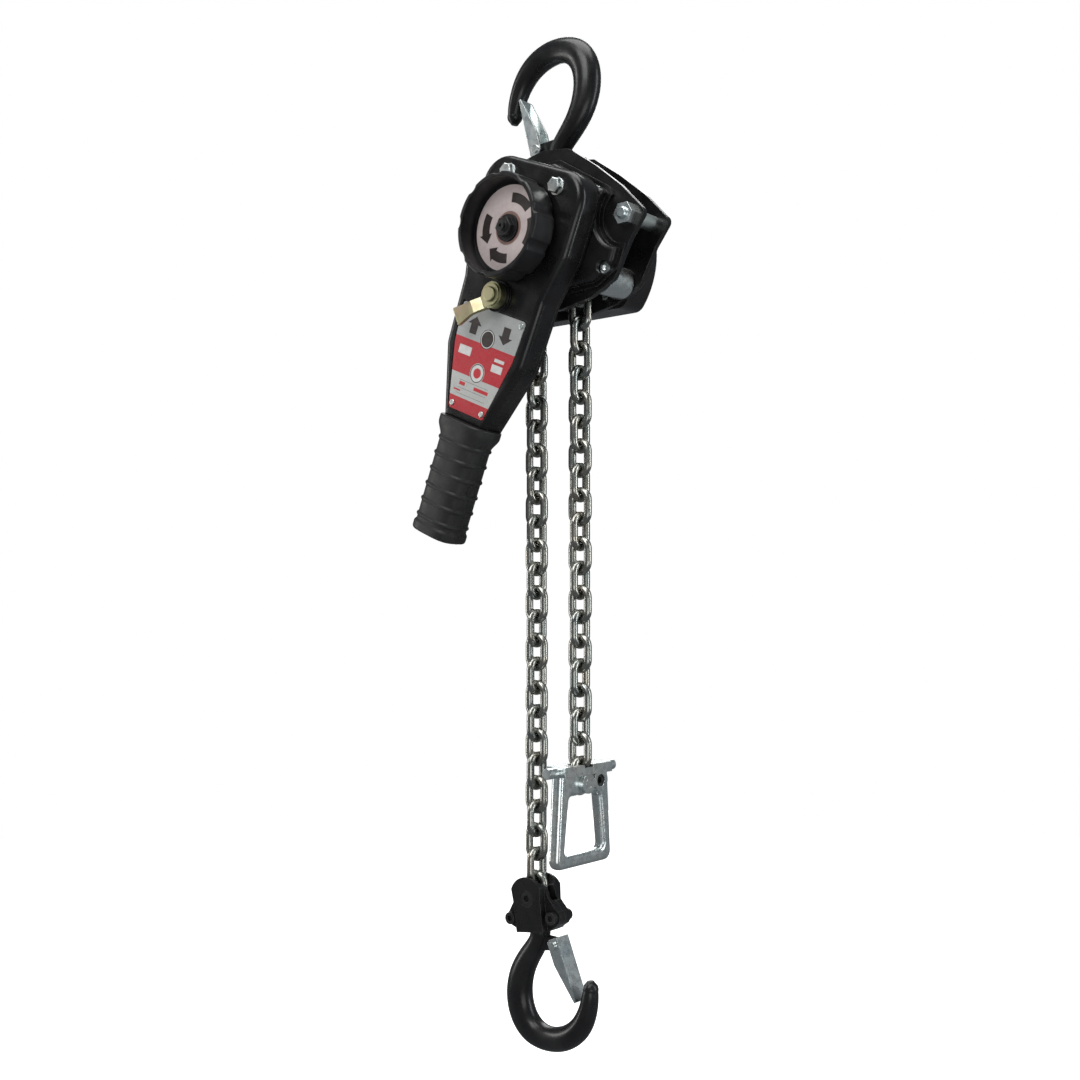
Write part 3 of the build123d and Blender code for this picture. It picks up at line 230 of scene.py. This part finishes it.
def moulded(name, dark, light, rough, grain_scale, grain, dust=0.0):
    """Moulded plastic or rubber: fine grain, soft patches and a little dust in the grain."""
    mat, tree, shader, coords = new_material(name)
    rounded = rounded_normal(tree, 0.6 * MM)
    colour = ramp(tree, noise(tree, coords, 60, 5), [(0.3, dark), (0.75, light)])
    if dust:
        specks = remap(tree, noise(tree, coords, 420, 6, 0.7), 0.55, 0.8, 0.0, dust)
        colour = mix(tree, specks, colour, DUST)
    tree.links.new(colour, shader.inputs["Base Color"])
    uneven_roughness(tree, shader, noise(tree, coords, 150, 4), rough - 0.06, rough + 0.08)
    shader.inputs["Specular IOR Level"].default_value = PLASTIC_SPECULAR
    bump(tree, shader, [(noise(tree, coords, grain_scale, 4), grain, 0.1 * MM)], rounded)
    return mat


def printed(name, base, tint, rough=0.38):
    """Printing ink or coated paper, slightly mottled."""
    mat, tree, shader, coords = new_material(name)
    mottled = ramp(tree, noise(tree, coords, 300, 4), [(0.3, base), (0.7, tint)])
    tree.links.new(mottled, shader.inputs["Base Color"])
    uneven_roughness(tree, shader, noise(tree, coords, 700, 3), rough - 0.05, rough + 0.06)
    bump(tree, shader, [(noise(tree, coords, 1500, 2), 0.12, 0.03 * MM)])
    return mat


PLATE_TOP, PLATE_BOTTOM = -59.0, -137.0     # mm above the axis, along the lever
PLATE_BANDS = [(PLATE_TOP, "silver"), (-84.0, "red"), (-110.0, "white"), (-127.0, "red")]
PLATE_INKS = {"silver": (0.33, 0.345, 0.34), "red": (0.40, 0.014, 0.024),
              "white": (0.41, 0.42, 0.405)}
PLATE_SPECKLE = (0.16, 0.15, 0.15)


def banded_plate(name):
    """The name plate: printed bands across it, on aluminium with a satin lacquer."""
    mat, tree, shader, coords = new_material(name)
    along = tree.nodes.new("ShaderNodeVectorMath")
    along.operation = "DOT_PRODUCT"
    along.inputs[1].default_value = (sin(LEVER_SWING), 0, cos(LEVER_SWING))
    tree.links.new(coords, along.inputs[0])
    axis = axis_x * sin(LEVER_SWING) + axis_z * cos(LEVER_SWING)
    top, bottom = axis + PLATE_TOP * MM, axis + PLATE_BOTTOM * MM
    down = remap(tree, along.outputs["Value"], top, bottom, 0, 1)
    span = PLATE_BOTTOM - PLATE_TOP
    stops = [((start - PLATE_TOP) / span, PLATE_INKS[ink]) for start, ink in PLATE_BANDS]
    bands = ramp(tree, down, stops, "CONSTANT")
    speckle = remap(tree, noise(tree, coords, 900, 4), 0.35, 0.75, 0.0, 0.28)
    tree.links.new(mix(tree, speckle, bands, PLATE_SPECKLE), shader.inputs["Base Color"])
    uneven_roughness(tree, shader, noise(tree, coords, 260, 3), 0.3, 0.44)
    shader.inputs["Metallic"].default_value = 0.25
    bump(tree, shader, [(noise(tree, coords, 1300, 2), 0.15, 0.04 * MM)])
    return mat


# ---------------------------------------------------------------- a material for each record slot
# In the paint recipes, edge is the grey of the painted highlight along the edges, which is partly
# rubbed paint.
RECIPES = {
    "forged_black": (paint, dict(dark=(0.004, 0.004, 0.0045), light=(0.009, 0.009, 0.0095),
                                 gloss=0.3, peel=1.0, edge=0.02, radius=0.9 * MM)),
    "satin_black": (paint, dict(dark=(0.0035, 0.0035, 0.004), light=(0.0075, 0.007, 0.007),
                                gloss=0.28, edge=0.03)),
    "black_bolt": (paint, dict(dark=(0.006, 0.006, 0.0065), light=(0.013, 0.013, 0.0135),
                               gloss=0.36, edge=0.06, radius=0.4 * MM, coat=0.0)),
    "zinc": (plating, dict(stops=[(0.3, (0.66, 0.75, 0.77)), (0.52, (0.80, 0.85, 0.84)),
                                  (0.75, (0.84, 0.83, 0.78))], rough=0.27, grain=0.05)),
    "white_zinc": (plating, dict(stops=[(0.3, (0.58, 0.65, 0.63)), (0.7, (0.70, 0.75, 0.72))],
                                 rough=0.33, grain=0.12)),
    "chain_steel": (plating, dict(stops=[(0.25, (0.27, 0.295, 0.285)),
                                         (0.5, (0.38, 0.385, 0.355)),
                                         (0.75, (0.42, 0.385, 0.33))],
                                  rough=0.27, grain=0.1, patch=70)),
    "yellow_zinc": (plating, dict(stops=[(0.3, (0.42, 0.43, 0.25)), (0.5, (0.50, 0.47, 0.29)),
                                         (0.7, (0.52, 0.42, 0.29))],
                                  rough=0.42, grain=0.03, patch=38)),
    "machined_steel": (plating, dict(stops=[(0.3, (0.30, 0.30, 0.31)), (0.7, (0.46, 0.46, 0.47))],
                                     rough=0.33)),
    "cast_sheave": (plating, dict(stops=[(0.3, (0.14, 0.14, 0.145)), (0.7, (0.24, 0.235, 0.23))],
                                  rough=0.5, grain=0.6, grain_scale=700)),
    "bronze": (plating, dict(stops=[(0.3, (0.52, 0.36, 0.17)), (0.7, (0.66, 0.48, 0.24))],
                             rough=0.38)),
    "spring_steel": (plating, dict(stops=[(0.3, (0.22, 0.22, 0.24)), (0.7, (0.38, 0.37, 0.37))],
                                   rough=0.3)),
    "brake_lining": (moulded, dict(dark=(0.10, 0.075, 0.055), light=(0.17, 0.13, 0.10),
                                   rough=0.7, grain_scale=900, grain=0.5)),
    "black_plastic": (moulded, dict(dark=(0.0045, 0.0045, 0.005), light=(0.009, 0.009, 0.0095),
                                    rough=0.34, grain_scale=1100, grain=0.3)),
    "rubber": (moulded, dict(dark=(0.008, 0.008, 0.0085), light=(0.015, 0.0148, 0.0152),
                             rough=0.5, grain_scale=800, grain=0.5, dust=0.16)),
    "printed_plate": (banded_plate, {}),
}
MATERIALS = {name: kind(name, **settings) for name, (kind, settings) in RECIPES.items()}

INK = printed("ink", (0.018, 0.013, 0.012), (0.032, 0.024, 0.022))
LABEL = printed("label", (0.44, 0.375, 0.365), (0.50, 0.43, 0.42), 0.42)
LABEL_CORE = printed("label_core", (0.20, 0.12, 0.10), (0.26, 0.16, 0.14))
PALE_PRINT = printed("pale_print", (0.42, 0.42, 0.41), (0.50, 0.50, 0.49))
RED_PRINT = printed("red_print", (0.32, 0.012, 0.02), (0.40, 0.02, 0.028))

# A few nodes have a finish of their own instead of their record slot's.
FINISH = {"wheel_nut": "black_bolt", "pinion_shaft": "black_bolt", "drive_pawl": "yellow_zinc"}

for part in frame["record"]["subparts"]:
    node = part["node"]
    obj = nodes[node]
    obj.data.materials.clear()
    obj.data.materials.append(MATERIALS[FINISH.get(node, part["material_slot"])])


# ---------------------------------------------------------------- mesh helpers
def link(obj):
    bpy.context.scene.collection.objects.link(obj)


def add_mesh(name, bm, material, body, smooth=False):
    """Turn a bmesh into an object that rides on a body."""
    bmesh.ops.recalc_face_normals(bm, faces=bm.faces)
    mesh = bpy.data.meshes.new(name)
    bm.to_mesh(mesh)
    bm.free()
    mesh.materials.append(material)
    for face in mesh.polygons:
        face.use_smooth = smooth
    obj = bpy.data.objects.new(name, mesh)
    link(obj)
    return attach(obj, body)


def skin(bm, first, second):
    """Faces between two loops with as many points each."""
    count = len(first)
    for i in range(count):
        j = (i + 1) % count
        bm.faces.new((first[i], first[j], second[j], second[i]))


def closed_loft(bm, loops):
    """A skin through several loops, with a flat face at each end."""
    for first, second in zip(loops, loops[1:]):
        skin(bm, first, second)
    bm.faces.new(loops[0])
    bm.faces.new(list(reversed(loops[-1])))


def flat_piece(name, outlines, place, depth, height, material, body):
    """A thin printed piece raised off a face, from pairs of an outer outline and a hole or None."""
    bm = bmesh.new()

    def loop(points, y):
        return [bm.verts.new(place(*point, y)) for point in points]

    for outer, hole in outlines:
        low, high = loop(outer, depth), loop(outer, depth - height)
        if hole:
            hole_low, hole_high = loop(hole, depth), loop(hole, depth - height)
            skin(bm, low, high)
            skin(bm, high, hole_high)
            skin(bm, hole_high, hole_low)
            skin(bm, hole_low, low)
        else:
            closed_loft(bm, [low, high])
    return add_mesh(name, bm, material, body)


# ---------------------------------------------------------------- outlines
def polar(radius, angle):
    return (radius * cos(radians(angle)), radius * sin(radians(angle)))


def circle(radius, centre=(0, 0), count=72):
    return [(centre[0] + radius * cos(2 * pi * i / count),
             centre[1] + radius * sin(2 * pi * i / count)) for i in range(count)]


def arc_band(inner, outer, start, end, head=0.0):
    """A curved band between two angles, with an arrowhead of so many degrees at its end."""
    turn = 1 if end > start else -1
    neck = end - turn * head
    steps = 14
    angles = [start + (neck - start) * i / steps for i in range(steps + 1)]
    outline = [polar(outer, angle) for angle in angles]
    if head:
        middle = (inner + outer) / 2
        flare = (outer - inner) * 0.35
        outline += [polar(outer + flare, neck), polar(middle, end), polar(inner - flare, neck)]
    outline += [polar(inner, angle) for angle in reversed(angles)]
    return outline


def rectangle(x, y, width, height):
    """An upright rectangle from its centre and size."""
    w, h = width / 2, height / 2
    return [(x - w, y - h), (x + w, y - h), (x + w, y + h), (x - w, y + h)]


def block_arrow(x, y, size, up):
    """A plain block arrow that points up or down."""
    rise = size if up else -size
    stem, barb, tip, shoulder = 0.28, 0.55, 0.5, 0.05
    corners = ((-stem, -tip), (stem, -tip), (stem, shoulder), (barb, shoulder),
               (0.0, tip), (-barb, shoulder), (-stem, shoulder))
    return [(x + across * size, y + along * rise) for across, along in corners]


def filled(*outlines):
    return [(outline, None) for outline in outlines]


def ring(outer, inner, centre=(0, 0)):
    return [(circle(outer, centre), circle(inner, centre))]


# ---------------------------------------------------------------- handwheel label
LABEL_R, CORE_R, HOLE_R = 30.6, 12.0, 9.75          # mm
LABEL_T = 0.25 * MM
CORE_T = LABEL_T * 0.8
INK_T = 0.05 * MM
MARK_IN, MARK_OUT = 18.0, 25.0                      # mm
ARROWHEAD = 18                                      # degrees
WHEEL_MARKS = [(80, 28, 0), (10, -45, 0), (145, 201, ARROWHEAD), (266, 213, ARROWHEAD)]

flat_piece("wheel_label", ring(LABEL_R, CORE_R), on_axis, wheel_face, LABEL_T, LABEL, "drive")
flat_piece("wheel_label_core", ring(CORE_R, HOLE_R), on_axis, wheel_face, CORE_T,
           LABEL_CORE, "drive")
for i, (start, end, head) in enumerate(WHEEL_MARKS):
    mark = arc_band(MARK_IN, MARK_OUT, start, end, head)
    flat_piece(f"wheel_mark_{i + 1}", filled(mark), on_axis, wheel_face - LABEL_T, INK_T,
               INK, "drive")

# ---------------------------------------------------------------- name plate printing
NEUTRAL = (1.0, -80)                                # the round mark between the two arrows
RATING = (0.5, -106)                                # the roundel below it
PRINTS = [
    ("raise_arrow", INK, filled(block_arrow(-15.5, -73.5, 13, up=True))),
    ("lower_arrow", INK, filled(block_arrow(17.5, -73.5, 13, up=False))),
    ("neutral_mark", INK, filled(circle(7.2, NEUTRAL))),
    ("neutral_ring", PALE_PRINT, ring(6.6, 5.9, NEUTRAL)),
    ("rating_disc", PALE_PRINT, filled(circle(7.4, RATING))),
    ("rating_ring", INK, ring(7.0, 6.3, RATING)),
    ("rating_core", RED_PRINT, filled(circle(3.8, RATING))),
    ("rating_field", PALE_PRINT, filled(rectangle(-18, -93, 13, 6.5),
                                        rectangle(18.5, -92, 10, 2.4),
                                        rectangle(18, -98, 11, 5.5))),
    ("data_fields", RED_PRINT, filled(rectangle(-11.5, -117, 6, 2.6),
                                      rectangle(9, -117.5, 15, 2.6),
                                      rectangle(-15, -122.5, 7, 1.2))),
    ("data_lines", INK, filled(*(rectangle(0, y, 31, 0.22) for y in (-114.6, -120.4, -124.6)))),
]
OVERPRINTS = ("neutral_ring", "rating_ring", "rating_core")     # lie on top of another print

for name, ink, outlines in PRINTS:
    raised = 2 * INK_T if name in OVERPRINTS else INK_T
    flat_piece(name, outlines, on_lever, plate_face, raised, ink, "lever")


# ---------------------------------------------------------------- rubber grip
GRIP_START, GRIP_END = 143.0, 233.9     # mm down the lever
GRIP_DEPTH = -36.4 * MM                 # y of its middle
# Pairs for half width and half thickness, all in mm.
COLLAR, HANDLE = (25.3, 16.4), (20.0, 14.5)
RIB_RISE, END_RISE = (1.15, 0.85), (1.4, 1.2)
COLLAR_END, HANDLE_START = 5, 17        # mm below the grip's start
FLARE_START, FLARE_END = 9, 6           # mm above the grip's end
RIBS = [160.0 + 12.3 * i for i in range(6)]
RIB_REACH = 1.7                         # half of a rib's length
LIP, TAIL, EDGE_ROUND = 1.4, 2.6, 1.82  # lengths of the rounded ends, and how far they draw in
SQUARENESS = 3.2                        # power of the section's rounded rectangle
SEAM = 0.4                              # raised parting line on both edges
GRIP_SIDES, GRIP_STEPS = 96, 300
PIP = 190.75                            # mm down the lever, between two ribs
PIP_PROFILE = ((-0.6, 4.6), (0.3, 4.6), (0.55, 4.2))    # mm past the grip's edge, and radius
PIP_SIDES = 40


def smoothstep(low, high, value):
    t = min(1.0, max(0.0, (value - low) / (high - low)))
    return t * t * (3 - 2 * t)


def quarter_round(t):
    """Height of a quarter circle's rise, from nought at 0 to one at 1."""
    return (1 - (1 - t) ** 2) ** 0.5


def grip_half_sizes(down):
    """Half width and half thickness of the section, so many mm down the lever."""
    taper = smoothstep(GRIP_START + COLLAR_END, GRIP_START + HANDLE_START, down)
    rib = sum(max(0.0, 1 - ((down - middle) / RIB_REACH) ** 2) for middle in RIBS)
    flare = smoothstep(GRIP_END - FLARE_START, GRIP_END - FLARE_END, down)
    lip = quarter_round(min(1.0, (down - GRIP_START) / LIP))
    tail = quarter_round(min(1.0, (GRIP_END - down) / TAIL))
    draw_in = EDGE_ROUND * (2 - lip - tail)
    return [collar + (handle - collar) * taper + rib_rise * rib + end_rise * flare - draw_in
            for collar, handle, rib_rise, end_rise in zip(COLLAR, HANDLE, RIB_RISE, END_RISE)]


def build_grip():
    """A ribbed sleeve, built loop by loop down the lever and closed at both ends."""
    bm = bmesh.new()
    loops = []
    for i in range(GRIP_STEPS + 1):
        down = GRIP_START + (GRIP_END - GRIP_START) * i / GRIP_STEPS
        half_w, half_t = grip_half_sizes(down)
        loop = []
        for k in range(GRIP_SIDES):
            angle = 2 * pi * k / GRIP_SIDES
            c, s = cos(angle), sin(angle)
            reach = (abs(c) ** SQUARENESS + abs(s) ** SQUARENESS) ** (-1 / SQUARENESS)
            seam = SEAM if k in (0, GRIP_SIDES // 2) else 0.0
            x = (half_w * reach + seam) * c
            loop.append(bm.verts.new(on_lever(x, -down, GRIP_DEPTH + half_t * reach * s * MM)))
        loops.append(loop)
    closed_loft(bm, loops)
    grip = add_mesh("rubber_grip", bm, MATERIALS["rubber"], "lever", smooth=True)
    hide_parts("lever_grip")


def build_grip_mark():
    """A plain round pip that is moulded on the grip's edge."""
    bm = bmesh.new()
    edge = grip_half_sizes(PIP)[0]
    loops = [[bm.verts.new(on_lever(edge + past, -PIP + up, GRIP_DEPTH + across * MM))
              for across, up in circle(radius, count=PIP_SIDES)] for past, radius in PIP_PROFILE]
    closed_loft(bm, loops)
    add_mesh("grip_mark", bm, MATERIALS["rubber"], "lever")


build_grip()
build_grip_mark()

# ---------------------------------------------------------------- floor
FLOOR_RADIUS = 1.5


def build_floor():
    """A pale disc, lit a little from within so that it reads as plain white paper."""
    mesh = bpy.data.meshes.new("floor")
    rim = [(FLOOR_RADIUS * x, FLOOR_RADIUS * y, floor_z) for x, y in circle(1.0)]
    mesh.from_pydata(rim, [], [tuple(range(len(rim)))])
    floor = bpy.data.objects.new("floor", mesh)
    link(floor)
    material, _, shader, _ = new_material("floor")
    shader.inputs["Base Color"].default_value = (0.93, 0.93, 0.93, 1)
    shader.inputs["Roughness"].default_value = 0.9
    shader.inputs["Specular IOR Level"].default_value = 0.0
    shader.inputs["Emission Color"].default_value = (1, 1, 1, 1)
    shader.inputs["Emission Strength"].default_value = 0.75
    mesh.materials.append(material)
    floor.visible_glossy = False            # a pale floor shouldn't haze the black paint


build_floor()

# ---------------------------------------------------------------- light
AMBIENT, AMBIENT_COLOUR = 0.16, (0.9, 0.95, 1.0, 1)
MIDDLE = Vector((0.0, 0.0, -0.36))          # what the softboxes face
WHITE = (1, 1, 1)
SOFTBOXES = [
    # name, azimuth, elevation, distance, size, power, colour
    ("key", 5, 42, 1.6, (0.8, 0.8), 11, WHITE),
    ("low_front", 48, -12, 1.6, (0.9, 0.6), 4, WHITE),
    ("right_strip", 112, 12, 1.5, (0.30, 1.5), 9, (0.94, 0.98, 1.0)),
    ("left_strip", -62, 8, 1.5, (0.30, 1.5), 8, (1.0, 0.98, 0.95)),
    ("top", 40, 82, 1.4, (1.1, 0.9), 14, WHITE),
    ("behind", 215, 30, 1.7, (0.9, 1.2), 12, WHITE),
]


def build_world():
    """White to the camera, and a dim cool light to everything else."""
    world = bpy.data.worlds.new("studio")
    bpy.context.scene.world = world
    world.use_nodes = True
    tree = world.node_tree
    backdrop = tree.nodes["Background"]
    backdrop.inputs["Color"].default_value = (*WHITE, 1)
    backdrop.inputs["Strength"].default_value = 1.0
    ambient = tree.nodes.new("ShaderNodeBackground")
    ambient.inputs["Color"].default_value = AMBIENT_COLOUR
    ambient.inputs["Strength"].default_value = AMBIENT
    ray = tree.nodes.new("ShaderNodeLightPath")
    choose = tree.nodes.new("ShaderNodeMixShader")
    tree.links.new(ray.outputs["Is Camera Ray"], choose.inputs["Fac"])
    tree.links.new(ambient.outputs[0], choose.inputs[1])
    tree.links.new(backdrop.outputs[0], choose.inputs[2])
    tree.links.new(choose.outputs[0], tree.nodes["World Output"].inputs["Surface"])


def softbox(name, azimuth, elevation, distance, size, power, colour):
    """A rectangular area light that faces the object's middle; azimuth 0 is the handwheel side."""
    light = bpy.data.lights.new(name, "AREA")
    light.shape = "RECTANGLE"
    light.size, light.size_y = size
    light.energy = power
    light.color = colour
    obj = bpy.data.objects.new(name, light)
    link(obj)
    a, e = radians(azimuth), radians(elevation)
    away = Vector((sin(a) * cos(e), -cos(a) * cos(e), sin(e)))
    obj.location = MIDDLE + away * distance
    obj.rotation_euler = (-away).to_track_quat("-Z", "Y").to_euler()


bpy.context.scene.view_settings.view_transform = "Standard"
build_world()
for settings in SOFTBOXES:
    softbox(*settings)

# ---------------------------------------------------------------- camera
CAMERA_PLACE = (0.6144, -0.7533, -0.401)
CAMERA_AZIMUTH = 40                         # degrees, level view
LENS, SENSOR = 43.3, 36.0                   # mm
SHIFT_UP = 0.0556                           # of the frame, which keeps upright edges upright


def build_camera():
    data = bpy.data.cameras.new("camera")
    data.lens = LENS
    data.sensor_width = SENSOR
    data.shift_y = SHIFT_UP
    camera = bpy.data.objects.new("camera", data)
    camera.location = CAMERA_PLACE
    camera.rotation_euler = (radians(90), 0, radians(CAMERA_AZIMUTH))
    link(camera)
    bpy.context.scene.camera = camera


build_camera()
